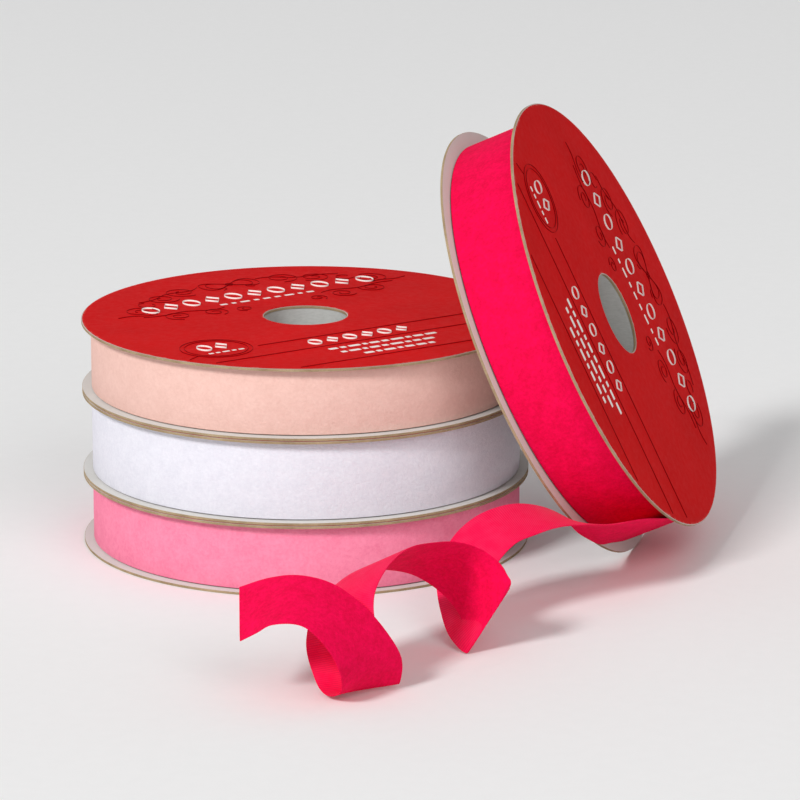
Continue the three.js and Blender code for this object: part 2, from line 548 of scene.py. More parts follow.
def with_tree(name: str, base: bpy.types.Mesh, group: bpy.types.NodeTree,
              sizes: dict[str, object]) -> bpy.types.Object:
    """Make an object with one Geometry Nodes modifier.

    Args:
        name: The piece's name.
        base: The mesh that the modifier reads.
        group: The node group.
        sizes: Value of each named input, set by the input's identifier.

    Returns:
        The object, at the origin.
    """
    piece = bpy.data.objects.new(name, base)
    modifier = piece.modifiers.new(group.name, "NODES")
    modifier.node_group = group
    for item in group.interface.items_tree:
        if item.item_type == "SOCKET" and item.in_out == "INPUT" and item.name in sizes:
            modifier[item.identifier] = sizes[item.name]
    bpy.context.scene.collection.objects.link(piece)
    return piece


class GrowTree(NodeTree):
    """A Geometry Nodes group with named inputs, ending in one mesh."""

    def __init__(self, name: str, sizes: Iterable[tuple[str, str]]) -> None:
        """Start a group.

        Args:
            name: The group's name.
            sizes: Name and socket type of each input after the geometry.
        """
        group = bpy.data.node_groups.new(name, "GeometryNodeTree")
        super().__init__(group)
        face = group.interface
        face.new_socket("Geometry", in_out="INPUT", socket_type="NodeSocketGeometry")
        for title, kind in sizes:
            face.new_socket(title, in_out="INPUT", socket_type=kind)
        face.new_socket("Geometry", in_out="OUTPUT", socket_type="NodeSocketGeometry")
        self.given = self.add("NodeGroupInput").outputs

    def end(self, geometry: bpy.types.NodeSocket) -> bpy.types.NodeTree:
        """Realise the instances, set the material and close the group.

        Args:
            geometry: The socket of the finished geometry.

        Returns:
            The group.
        """
        real = self.add("GeometryNodeRealizeInstances", {"Geometry": geometry})
        dressed = self.add("GeometryNodeSetMaterial",
                           {"Geometry": real.outputs[0], "Material": self.given["Material"]})
        self.add("NodeGroupOutput", {0: dressed.outputs[0]})
        return self.tree


def line_tree() -> bpy.types.NodeTree:
    """Make a group that prints every edge of a mesh as a flat inked line.

    Returns:
        The node group.
    """
    tree = GrowTree("inked_lines", [("Width", "NodeSocketFloat"), ("Height", "NodeSocketFloat"),
                                    ("Material", "NodeSocketMaterial")])
    curve = tree.add("GeometryNodeMeshToCurve", {"Mesh": tree.given["Geometry"]})
    level = tree.add("GeometryNodeSetCurveNormal", {"Curve": curve.outputs[0]}, mode="Z_UP")
    outline = tree.add("GeometryNodeCurvePrimitiveQuadrilateral",
                       {"Width": tree.given["Height"], "Height": tree.given["Width"]})
    swept = tree.add("GeometryNodeCurveToMesh", {
        "Curve": level.outputs[0], "Profile Curve": outline.outputs[0], "Fill Caps": True})
    return tree.end(swept.outputs[0])


def mark_tree() -> bpy.types.NodeTree:
    """Make a group that prints a round-cornered bar at every point, stretched as stored.

    Returns:
        The node group.
    """
    tree = GrowTree("printed_bars", [("Width", "NodeSocketFloat"), ("Height", "NodeSocketFloat"),
                                     ("Material", "NodeSocketMaterial")])
    outline = tree.add("GeometryNodeCurvePrimitiveQuadrilateral",
                       {"Width": tree.given["Width"], "Height": tree.given["Width"]})
    corner = tree.add("ShaderNodeMath", {0: tree.given["Width"], 1: 0.16}, operation="MULTIPLY")
    rounded = tree.add("GeometryNodeFilletCurve", {
        "Curve": outline.outputs[0], "Radius": corner.outputs[0], "Count": 3}, mode="POLY")
    filled = tree.add("GeometryNodeFillCurve", {"Curve": rounded.outputs[0]}, mode="NGONS")
    raised = tree.add("GeometryNodeExtrudeMesh", {
        "Mesh": filled.outputs[0], "Offset Scale": tree.given["Height"]})
    under = tree.add("GeometryNodeFlipFaces", {"Mesh": filled.outputs[0]})
    solid = tree.add("GeometryNodeJoinGeometry")
    tree.tree.links.new(under.outputs[0], solid.inputs[0])
    tree.tree.links.new(raised.outputs[0], solid.inputs[0])
    closed = tree.add("GeometryNodeMergeByDistance",
                      {"Geometry": solid.outputs[0], "Distance": 1e-7})
    stretch = tree.add("GeometryNodeInputNamedAttribute", {"Name": "stretch"},
                       data_type="FLOAT_VECTOR")
    placed = tree.add("GeometryNodeInstanceOnPoints", {
        "Points": tree.given["Geometry"], "Instance": closed.outputs[0],
        "Scale": stretch.outputs[0]})
    return tree.end(placed.outputs[0])


def winding_tree() -> bpy.types.NodeTree:
    """Make a group that winds a flat ribbon in a spiral, one turn on another.

    Returns:
        The node group.
    """
    tree = GrowTree("wound_ribbon", [
        ("Turns", "NodeSocketFloat"), ("Inner", "NodeSocketFloat"), ("Outer", "NodeSocketFloat"),
        ("Width", "NodeSocketFloat"), ("Thickness", "NodeSocketFloat"),
        ("Reversed", "NodeSocketBool"), ("Material", "NodeSocketMaterial")])
    spiral = tree.add("GeometryNodeCurveSpiral", {
        "Resolution": 200, "Rotations": tree.given["Turns"], "Start Radius": tree.given["Inner"],
        "End Radius": tree.given["Outer"], "Height": 0.0, "Reverse": tree.given["Reversed"]})
    level = tree.add("GeometryNodeSetCurveNormal", {"Curve": spiral.outputs[0]}, mode="Z_UP")
    section = tree.add("GeometryNodeCurvePrimitiveQuadrilateral",
                       {"Width": tree.given["Thickness"], "Height": tree.given["Width"]})
    edge = tree.add("ShaderNodeMath", {0: tree.given["Thickness"], 1: 0.3}, operation="MULTIPLY")
    rounded = tree.add("GeometryNodeFilletCurve", {
        "Curve": section.outputs[0], "Radius": edge.outputs[0], "Count": 2}, mode="POLY")
    swept = tree.add("GeometryNodeCurveToMesh", {
        "Curve": level.outputs[0], "Profile Curve": rounded.outputs[0], "Fill Caps": True})
    return tree.end(swept.outputs[0])


# ---------------------------------------------------------------- the label's own pattern


# Corners of the two motifs.
DIAMOND = 4
RING = 20


@dataclass
class Artwork:
    """Plain ornament of the label, in millimetres round the bore, reading along +X."""

    lines: dict[Ink, list[list[Point]]] = field(
        default_factory=lambda: {ink: [] for ink in Ink})
    bars: list[tuple[float, float, float, float]] = field(default_factory=list)

    def arc(self, centre: Point, radius: float, start: float = 0.0, end: float = 360.0,
            grow: float = 0.0, ink: Ink = Ink.DARK) -> None:
        """Draw an arc, or a scroll where the radius grows.

        Args:
            centre: Its centre.
            radius: Its first radius.
            start: Its first angle in degrees.
            end: Its last angle in degrees.
            grow: How much the radius grows over its length.
            ink: What it is drawn with.
        """
        steps = max(8, int(abs(end - start) / 8))
        path = []
        for i in range(steps + 1):
            share = i / steps
            angle = math.radians(start + (end - start) * share)
            reach = radius + grow * share
            path.append((centre[0] + reach * math.cos(angle), centre[1] + reach * math.sin(angle)))
        self.lines[ink].append(path)

    def wave(self, start: Point, end: Point, swing: float, turns: float) -> None:
        """Draw a line that swings from side to side and dies out towards its end.

        Args:
            start: Its first point.
            end: Its last point.
            swing: Its widest swing.
            turns: Full swings over its length.
        """
        along = Vector(end) - Vector(start)
        side = Vector((-along.y, along.x)).normalized()
        path = []
        for i in range(41):
            share = i / 40
            off = swing * (1 - 0.6 * share) * math.sin(2 * math.pi * turns * share)
            spot = Vector(start) + along * share + side * off
            path.append((spot.x, spot.y))
        self.lines[Ink.DARK].append(path)

    def bow(self, centre: Point, size: float) -> None:
        """Draw a tied bow: two figures of eight, their knot and two tails.

        Args:
            centre: The knot's centre.
            size: Length of one loop.
        """
        for scale in (1.0, 0.78):
            path = []
            for i in range(73):
                angle = 2 * math.pi * i / 72
                path.append((centre[0] + scale * size * math.sin(angle),
                             centre[1] + scale * size * 0.45 * math.sin(2 * angle)))
            self.lines[Ink.DARK].append(path)
        self.arc(centre, size * 0.13)
        for side in (-1, 1):
            self.lines[Ink.DARK].append([
                (centre[0] + side * size * (0.1 + 0.5 * t + 0.1 * math.sin(6 * t)),
                 centre[1] - size * (0.12 + 0.5 * t))
                for t in (i / 16 for i in range(17))])

    def row(self, start: Point, step: float, widths: Sequence[float], height: float) -> None:
        """Print a row of bars.

        Args:
            start: Left end of the row.
            step: Gap between two bars.
            widths: Each bar's width.
            height: The bars' height.
        """
        x = start[0]
        for width in widths:
            self.bars.append((x + width / 2, start[1], width, height))
            x += width + step

    def motif(self, centre: Point, wide: float, tall: float, corners: int) -> None:
        """Outline a many-sided motif in white.

        Args:
            centre: Its centre.
            wide: Its width.
            tall: Its height.
            corners: Its corners, few for a diamond and many for a ring.
        """
        path = []
        for i in range(corners + 1):
            angle = 2 * math.pi * (i + 0.5 * (corners % 4 == 2)) / corners
            path.append((centre[0] + wide / 2 * math.sin(angle),
                         centre[1] + tall / 2 * math.cos(angle)))
        self.lines[Ink.WHITE].append(path)

    def motif_row(self, middle: Point, half: float, count: int, wide: float, tall: float,
                  rise: float) -> None:
        """Print a bowed row in which rings and diamonds take turns.

        Args:
            middle: The row's middle, at the height of its ends.
            half: Half its length.
            count: Its motifs.
            wide: A motif's width.
            tall: A motif's height.
            rise: How far its middle stands over its ends.
        """
        for i in range(count):
            share = -1 + 2 * i / (count - 1)
            spot = (middle[0] + half * share, middle[1] + rise * (1 - share * share))
            self.motif(spot, wide, tall, DIAMOND if i % 2 else RING)


def label_artwork() -> Artwork:
    """Draw every label's pattern: a bow between scrolls, a badge, rows and rules.

    Returns:
        The artwork.
    """
    art = Artwork()
    middle = 2.0
    art.bow((middle, 38.0), 8.0)
    for side in (-1, 1):
        art.arc((middle + side * 14.5, 37.0), 1.0, 90, 90 + side * -560, grow=3.6)
        art.arc((middle + side * 22.0, 33.5), 0.9, 90, 90 + side * -600, grow=3.4)
        art.arc((middle + side * 33.5, 24.8), 0.9, 200, 200 + side * 620, grow=3.6)
        art.arc((middle + side * 28.5, 29.5), 1.6, 20, 20 + side * 300, grow=1.0)
        art.arc((middle + side * 28.0, 15.8), 0.8, 20, 20 + side * -600, grow=3.0)
        art.arc((middle + side * 18.5, 14.6), 0.8, 120, 120 + side * 560, grow=2.6)
        art.arc((middle + side * 10.5, 13.6), 0.6, 90, 90 + side * -520, grow=1.8)
        art.wave((middle + side * 8.5, 39.5), (middle + side * 29.0, 33.0), 1.3, 1.5)
        art.wave((middle + side * 14.0, 17.6), (middle + side * 36.0, 19.0), 1.1, 1.5)
        art.wave((middle + side * 31.0, 20.6), (middle + side * 41.5, 21.6), 0.9, 1.0)
    art.motif_row((middle, 24.0), 31.0, 11, 3.9, 5.6, 2.2)
    art.row((-11.5, 20.3), 1.3, (2.0, 1.2, 2.6, 1.4, 2.0, 1.6, 2.6, 1.2, 2.0), 1.1)
    for radius in (8.6, 7.5):
        art.arc((-36.0, -17.3), radius)
    art.motif((-38.5, -16.0), 3.2, 4.8, RING)
    art.motif((-33.9, -16.0), 3.2, 4.8, DIAMOND)
    art.row((-40.2, -20.8), 0.7, (1.3, 1.1, 1.9, 1.1, 1.5), 0.9)
    for i in range(6):
        art.motif((-13.6 + 4.9 * i, -25.2), 3.1, 4.2, DIAMOND if i % 2 else RING)
    art.row((-14.5, -32.6), 0.8, (2.4, 1.5, 3.2, 1.2, 2.6, 1.8, 3.4, 1.4, 2.6, 3.0), 1.4)
    art.row((-13.5, -36.4), 0.8, (1.5, 3.0, 1.2, 2.6, 1.6, 3.4, 1.4, 2.0, 3.0), 1.4)
    art.row((-9.5, -40.2), 0.8, (2.6, 1.4, 3.0, 1.3, 2.4, 2.6, 1.6), 1.4)
    for low, left, right in ((-20.4, -26.5, 48.0), (-29.4, -43.5, 43.5), (-43.8, -29.5, 29.5)):
        art.lines[Ink.DARK].append([(left, low), (right, low)])
    art.lines[Ink.DARK].append([(-47.0, -23.4), (-43.6, -21.6)])
    return art


# ---------------------------------------------------------------- a spool


@dataclass
class Studio:
    """Shared materials and node groups."""

    board: BoardFinish = BoardFinish()
    prints: PrintFinish = PrintFinish()
    tube: TubeFinish = TubeFinish()
    tape: TapeFinish = TapeFinish()

    def __post_init__(self) -> None:
        """Make each of them once."""
        self.liner = self.board.liner_material()
        self.cut_edge = self.board.edge_material()
        self.label = self.prints.label_material()
        self.inks = {ink: self.prints.ink_material(ink) for ink in Ink}
        self.tube_board = self.tube.material()
        self.film = self.tape.material()
        self.line_group = line_tree()
        self.mark_group = mark_tree()
        self.winding_group = winding_tree()


@dataclass
class Spool:
    """One spool, in millimetres: two flanges, a label, a bore tube, a drum and its ribbon."""

    name: str
    body: str
    place: Matrix
    ribbon_width: float
    finish: RibbonFinish
    label_turn: float
    end_turn: float
    drum_radius: float = 48.8
    wound_length: float = RIBBON_LENGTH
    clockwise: bool = False
    taped: bool = True
    flange_radius: float = 54.0
    board: float = 0.6
    label: float = 0.08
    label_inset: float = 0.25
    glue: float = 0.06
    bore_radius: float = 10.0
    tube_wall: float = 0.9
    side_play: float = 0.28
    layer: float = 0.36
    ribbon_thickness: float = 0.31
    plies: int = 4
    ply_dent: float = 0.035
    corner_dent: float = 0.06
    nick: float = 0.018
    disc_steps: int = 288
    tube_steps: int = 160
    seam_depth: float = 0.09
    ink_thickness: float = 0.014
    ink_lift: float = 0.012
    tape_length: float = 20.0
    tape_width: float = 12.0
    tape_thickness: float = 0.1

    @property
    def front_height(self) -> float:
        """Height of the front flange's inner face."""
        return self.board + self.ribbon_width

    @property
    def label_height(self) -> float:
        """Height of the label's underside."""
        return self.front_height + self.board + self.glue

    @property
    def roll_radius(self) -> float:
        """Outer radius of the wound ribbon."""
        inner = self.drum_radius + self.glue
        return math.sqrt(inner ** 2 + self.wound_length * self.layer / math.pi)

    def keep(self, piece: bpy.types.Object, slot: str, *nodes: str) -> bpy.types.Object:
        """Let a piece ride on the spool's body.

        Args:
            piece: The finished piece.
            slot: Not used.
            nodes: The plain nodes that it replaces.

        Returns:
            The same piece.
        """
        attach(piece, self.body)
        if nodes:
            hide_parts(*nodes)
        LOG.info("%s rides on %s", piece.name, self.body)
        return piece

    def flange(self, side: Side, studio: Studio) -> None:
        """Cut one paperboard flange, its plies parted a little on both cut edges.

        Args:
            side: Which of the two.
            studio: The shared materials and node groups.
        """
        base = 0.0 if side is Side.BACK else self.front_height
        gap, slope = 0.012, 0.07
        steps: list[Point] = []
        for i in range(self.plies):
            low, high = i / self.plies, (i + 1) / self.plies
            steps += [(self.corner_dent if i == 0 else self.ply_dent, low + gap),
                      (0.0, low + slope), (0.0, high - slope), (self.ply_dent, high - gap)]
        steps[-1] = (self.corner_dent, 1 - gap)
        outer = [(self.flange_radius - dent, base + share * self.board) for dent, share in steps]
        inner = [(self.bore_radius + dent, base + share * self.board)
                 for dent, share in reversed(steps)]
        profile = [(r * MM, z * MM) for r, z in outer + inner]
        ring = len(outer)
        phase = (sum(map(ord, self.name)) % 17) + (0 if side is Side.BACK else 5)

        def nicks(angles: np.ndarray, corner: int) -> np.ndarray:
            """Nick both cut edges a little into the board.

            Args:
                angles: The angles round the disc.
                corner: The corner's number in the outline.

            Returns:
                How far the corner moves outward at each angle.
            """
            wave = (np.sin(37 * angles + phase) + np.sin(83 * angles + 2 * phase)
                    + np.sin(151 * angles + corner)) / 3
            inward = -self.nick * MM * (1 + wave)
            return inward if corner < ring else -inward

        shell = lathe(profile, self.disc_steps, nicks)
        edge_rows = set(range(ring - 1)) | set(range(ring, 2 * ring - 1))
        count = len(profile)
        shell.finish_of_face = [int(k % count in edge_rows) for k in range(len(shell.faces))]
        groove = [1.0 if j % 4 in (0, 3) else 0.0 for j in range(count)]
        shell.values["ply"] = np.tile(groove, len(shell.corners) // count)
        piece = shell.to_object(f"{self.name}_{side.value}_board", self.place,
                                [studio.liner, studio.cut_edge], 60)
        self.keep(piece, "paperboard", f"{self.name}_{side.value}_flange")

    def paper_label(self, studio: Studio) -> None:
        """Lay the printed paper on the front flange.

        Args:
            studio: The shared materials and node groups.
        """
        low, high = self.label_height, self.label_height + self.label
        inner = self.bore_radius + self.label_inset
        outer = self.flange_radius - self.label_inset
        radii = [inner, inner + 0.5, inner + 1.4, outer - 1.6, outer - 0.5, outer]
        profile = [(inner, low), (outer, low)]
        profile += [(r, high if 0 < i < 5 else high - 0.02) for i, r in
                    reversed(list(enumerate(radii)))]
        shell = lathe([(r * MM, z * MM) for r, z in profile], self.disc_steps)
        reach = np.hypot(shell.corners[:, 0], shell.corners[:, 1]) / MM
        away = np.minimum(reach - inner, outer - reach)
        shell.values["rim"] = np.clip(1 - away / 0.4, 0, 1)
        piece = shell.to_object(f"{self.name}_paper_label", self.place, [studio.label], 50)
        self.keep(piece, "red_print", f"{self.name}_front_label")

    def turned_place(self) -> Matrix:
        """The spool's place, turned to the heading in which its label reads."""
        return self.place @ Matrix.Rotation(math.radians(self.label_turn), 4, "Z")

    def printed_lines(self, art: Artwork, ink: Ink, stroke: float, studio: Studio) -> None:
        """Print the artwork's lines of one ink.

        Args:
            art: The artwork.
            ink: Which of its inks.
            stroke: Width of a line.
            studio: The shared materials and node groups.
        """
        over = self.ink_lift if ink is Ink.DARK else 0.02
        top = self.label_height + self.label + over
        corners, edges = [], []
        for path in art.lines[ink]:
            start = len(corners)
            corners += [(x * MM, y * MM, top * MM) for x, y in path]
            edges += [(start + i, start + i + 1) for i in range(len(path) - 1)]
        mesh = bpy.data.meshes.new(f"{self.name}_label_lines")
        mesh.from_pydata(corners, edges, [])
        piece = with_tree(f"{self.name}_label_{ink.value}_lines", mesh, studio.line_group, {
            "Width": stroke * MM, "Height": self.ink_thickness * MM,
            "Material": studio.inks[ink]})
        self.keep(applied(piece, self.turned_place()), "red_print")

    def printed_bars(self, art: Artwork, studio: Studio) -> None:
        """Print the white bars of the artwork.

        Args:
            art: The artwork.
            studio: The shared materials and node groups.
        """
        top = self.label_height + self.label + self.ink_lift
        mesh = bpy.data.meshes.new(f"{self.name}_label_bars")
        mesh.from_pydata([(x * MM, y * MM, top * MM) for x, y, *_ in art.bars], [], [])
        stretch = mesh.attributes.new("stretch", "FLOAT_VECTOR", "POINT")
        stretch.data.foreach_set("vector", [v for bar in art.bars for v in (bar[2], bar[3], 1)])
        piece = with_tree(f"{self.name}_label_bars", mesh, studio.mark_group, {
            "Width": 1 * MM, "Height": self.ink_thickness * MM,
            "Material": studio.inks[Ink.WHITE]})
        self.keep(applied(piece, self.turned_place()), "red_print")

    def bore_tube(self, studio: Studio) -> None:
        """Roll the bore tube, with the helical seam of its board.

        Args:
            studio: The shared materials and node groups.
        """
        low = (self.board + self.glue) * MM
        high = (self.front_height - self.glue) * MM
        inner, outer = self.bore_radius * MM, (self.bore_radius + self.tube_wall) * MM
        rows = 26
        profile = [(inner, low), (outer, low), (outer, high)]
        profile += [(inner, high + (low - high) * i / rows) for i in range(rows)]

        def seam(angles: np.ndarray, corner: int) -> np.ndarray:
            """Sink the seam into the bore's wall.

            Args:
                angles: The angles round the tube.
                corner: The corner's number in the outline.

            Returns:
                How far the corner moves outward at each angle.
            """
            if corner < 3:
                return np.zeros_like(angles)
            share = (corner - 3) / rows
            off = np.mod(angles / (2 * math.pi) + 1.3 * share + 0.5, 1) - 0.5
            return self.seam_depth * MM * np.exp(-(off / 0.012) ** 2)

        shell = lathe(profile, self.tube_steps, seam)
        reach = np.hypot(shell.corners[:, 0], shell.corners[:, 1])
        depth = np.where(reach < outer - 0.1 * MM, (reach - inner) / (self.seam_depth * MM), 0)
        shell.values["seam"] = np.clip(depth, 0, 1)
        piece = shell.to_object(f"{self.name}_bore_tube", self.place, [studio.tube_board], 40)
        self.keep(piece, "grey_board", f"{self.name}_core_tube")

    def wound_ribbon(self, studio: Studio) -> None:
        """Wind the ribbon on the drum, its whole length in its turns.

        Args:
            studio: The shared materials and node groups.
        """
        half = self.ribbon_thickness / 2
        first = self.drum_radius + self.glue + half
        last = self.roll_radius - half - (self.layer - self.ribbon_thickness)
        turns = self.wound_length / (math.pi * (first + last))
        width = self.ribbon_width - 2 * self.side_play
        empty = bpy.data.meshes.new("winding")
        piece = with_tree(f"{self.name}_wound_ribbon", empty, studio.winding_group, {
            "Turns": turns, "Inner": first * MM, "Outer": last * MM, "Width": width * MM,
            "Thickness": self.ribbon_thickness * MM, "Reversed": not self.clockwise,
            "Material": self.finish.face_material()})
        swept = turns * 360 * (-1 if self.clockwise else 1)
        lift = Matrix.Translation((0, 0, (self.board + self.ribbon_width / 2) * MM))
        turn = Matrix.Rotation(math.radians(self.end_turn - swept), 4, "Z")
        applied(piece, self.place @ lift @ turn)
        piece.data.shade_smooth()
        piece.data.set_sharp_from_angle(angle=math.radians(50))
        self.keep(piece, f"{self.name}_ribbon", f"{self.name}_ribbon_roll")

    def end_tape(self, studio: Studio) -> None:
        """Stick the tape over the ribbon's end, bowed to the roll.

        Args:
            studio: The shared materials and node groups.
        """
        across, along = 10, 36
        corners: list[tuple[float, float, float]] = []
        radius = self.roll_radius + self.glue
        middle = self.board + self.ribbon_width / 2
        for skin in (0, 1):
            for i in range(along + 1):
                u = -1 + 2 * i / along
                shrink = 1 - 0.18 * max(0.0, abs(u) - 0.9) / 0.1
                angle = math.radians(self.end_turn) + u * self.tape_length / 2 / radius
                for j in range(across + 1):
                    v = (-1 + 2 * j / across) * shrink
                    reach = (radius + skin * self.tape_thickness) * MM
                    corners.append((reach * math.cos(angle), reach * math.sin(angle),
                                    (middle + v * self.tape_width / 2) * MM))
        faces = sheet_faces(along + 1, across + 1)
        piece = Shell(np.array(corners), faces).to_object(
            f"{self.name}_tape", self.place, [studio.film], 50)
        self.keep(piece, "clear_tape", f"{self.name}_end_tape")

    def drum(self, studio: Studio) -> None:
        """Dress the drum that the ribbon hides.

        Args:
            studio: The shared materials and node groups.
        """
        node = frame["nodes"][f"{self.name}_winding_drum"]
        for slot in node.material_slots:
            slot.material = studio.cut_edge

    def build(self, art: Artwork, studio: Studio) -> None:
        """Make every piece of the spool.

        Args:
            art: The label's pattern.
            studio: The shared materials and node groups.
        """
        self.flange(Side.BACK, studio)
        self.flange(Side.FRONT, studio)
        self.paper_label(studio)
        self.printed_lines(art, Ink.DARK, 0.28, studio)
        self.printed_lines(art, Ink.WHITE, 0.75, studio)
        self.printed_bars(art, studio)
        self.bore_tube(studio)
        self.drum(studio)
        self.wound_ribbon(studio)
        if self.taped:
            self.end_tape(studio)


def sheet_faces(rows: int, columns: int) -> list[tuple[int, ...]]:
    """Join two grids of corners, the first one below the second, to a thin closed slab.

    Args:
        rows: Rows of corners in a grid.
        columns: Corners in a row.

    Returns:
        The faces, outward, those of the two grids in turn and then those of the rim.
    """
    size = rows * columns
    faces: list[tuple[int, ...]] = []
    for i in range(rows - 1):
        for j in range(columns - 1):
            a, b = i * columns + j, (i + 1) * columns + j
            faces.append((a, a + 1, b + 1, b))
            faces.append((size + a, size + b, size + b + 1, size + a + 1))
    rim = list(range(columns))
    rim += [i * columns + columns - 1 for i in range(1, rows)]
    rim += [(rows - 1) * columns + j for j in range(columns - 2, -1, -1)]
    rim += [i * columns for i in range(rows - 2, 0, -1)]
    for a, b in zip(rim, rim[1:] + rim[:1]):
        faces.append((b, a, size + a, size + b))
    return faces


# ---------------------------------------------------------------- the free ribbon


# Centre x, y, z in millimetres from the stack's axis, then the heading and lift, in degrees, of
# the line across the ribbon, from the leaning spool to the cut end.
FREE_STATIONS = (
    (72, -49, 15.5, -36, 22), (67.5, -53, 17, -59, 16), (63, -56, 19, -79, 10),
    (57.5, -59.5, 21, -80, 0), (51, -63.5, 21.5, -75, -9), (45.5, -67, 20.5, -65, -9),
    (41.5, -70, 18, -60, -10), (39, -73.5, 15.5, -55, -8), (38, -77.5, 13.5, -46, 1),
    (38, -82, 11.5, -37, 12), (39, -88, 9.5, -27, 28), (40.5, -94, 8, -9, 45),
    (42.5, -98, 7.7, 4, 58), (43, -97.5, 9.5, -14, 58), (42, -95, 11.5, -31, 51),
    (40.5, -93, 14, -36, 46), (36.5, -91.5, 17.5, -41, 43), (31, -93, 20.7, -45, 37),
    (25, -98, 22.8, -45, 32), (19, -105, 24, -44, 28), (14, -112, 22, -42, 25),
    (10.5, -118.5, 18, -36, 20), (10, -122, 12, -22, 18), (12.5, -124, 5, 0, 10),
    (14.5, -126.5, 1, 24, 0), (16.5, -130, 5, 38, 14), (15, -132.5, 11, 53, 17),
    (11, -132.5, 17, 62, 16), (5, -131, 21.5, 68, 16), (-2, -129, 22, 71, 22),
    (-7, -126.5, 20, 82, 26), (-12, -124, 17.3, 92, 25),
)


def smooth_path(points: np.ndarray, steps: int) -> np.ndarray:
    """Draw a centripetal Catmull-Rom curve through the stations.

    Args:
        points: The stations, one to a row.
        steps: Samples between two stations.

    Returns:
        The samples, one to a row.
    """
    ends = np.vstack([2 * points[0] - points[1], points, 2 * points[-1] - points[-2]])
    samples = []
    for i in range(1, len(ends) - 2):
        p0, p1, p2, p3 = ends[i - 1:i + 3]
        gaps = [max(1e-9, np.linalg.norm((b - a)[:3])) ** 0.5
                for a, b in ((p0, p1), (p1, p2), (p2, p3))]
        t1, t2, t3 = gaps[0], gaps[0] + gaps[1], sum(gaps)
        for t in t1 + (t2 - t1) * np.arange(steps) / steps:
            a1 = ((t1 - t) * p0 + t * p1) / t1
            a2 = ((t2 - t) * p1 + (t - t1) * p2) / (t2 - t1)
            a3 = ((t3 - t) * p2 + (t - t2) * p3) / (t3 - t2)
            b1 = ((t2 - t) * a1 + t * a2) / t2
            b2 = ((t3 - t) * a2 + (t - t1) * a3) / (t3 - t1)
            samples.append(((t2 - t) * b1 + (t - t1) * b2) / (t2 - t1))
    samples.append(points[-1])
    return np.array(samples)


